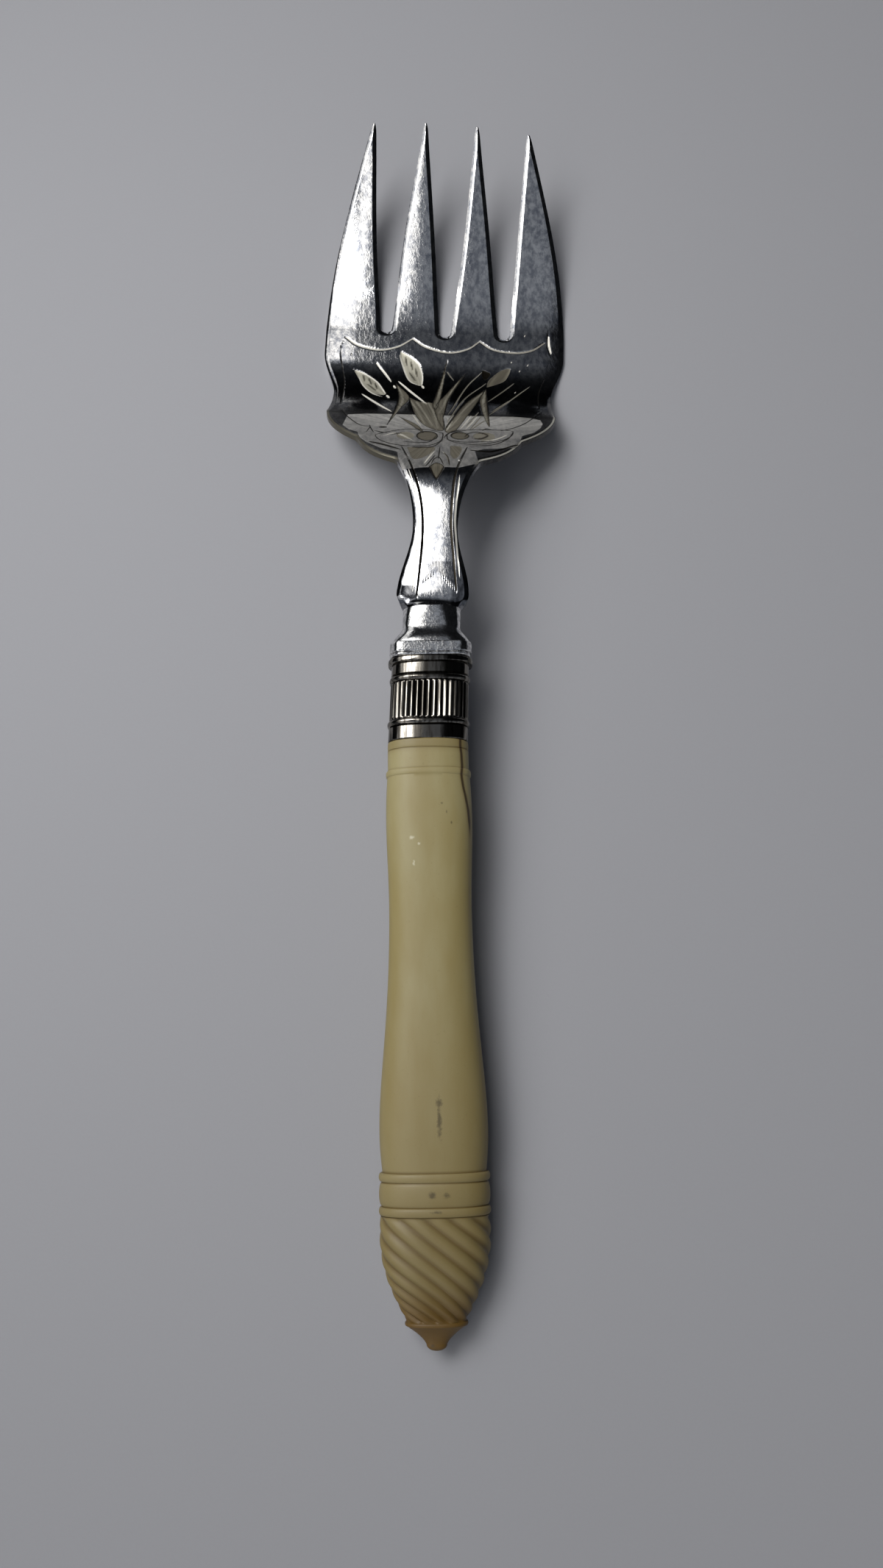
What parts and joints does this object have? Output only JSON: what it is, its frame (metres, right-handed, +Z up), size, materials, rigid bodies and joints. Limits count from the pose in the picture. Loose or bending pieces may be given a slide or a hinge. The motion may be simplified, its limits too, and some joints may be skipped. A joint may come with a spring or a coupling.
{
  "type": "serving fork",
  "caption": "Wide tined serving fork with a dished, scalloped and engraved blade, reeded ferrule and carved handle ending in a spirally fluted pommel.",
  "frame": {"origin": "under the middle of the fork's box, on the surface that it lies on", "axes": "+Y along the handle towards the tines, +X to the right seen from above with the tines away, +Z up"},
  "size_m": [0.0546, 0.2554, 0.0183],
  "materials": {
    "plated_metal": "polished silver-like plate, lightly scratched, bright-cut engraving",
    "bolster_metal": "polished silver-like plate, dulled in the cove",
    "cap_metal": "polished plate, tarnished at the rim",
    "ferrule_metal": "polished plate, tarnished dark between the reeds",
    "carved_handle": "creamy, ivory-coloured and softly polished, stained ochre in the carving, with one fine crack",
    "forged_metal": "rough forged, hidden",
    "resin": "dark resin, hidden"
  },
  "bodies": {
    "root": {"blade": "plated_metal", "bolster": "bolster_metal", "ferrule_cap": "cap_metal", "ferrule": "ferrule_metal", "handle": "carved_handle", "tang": "forged_metal", "resin_fill": "resin"}
  },
  "joints": []
}
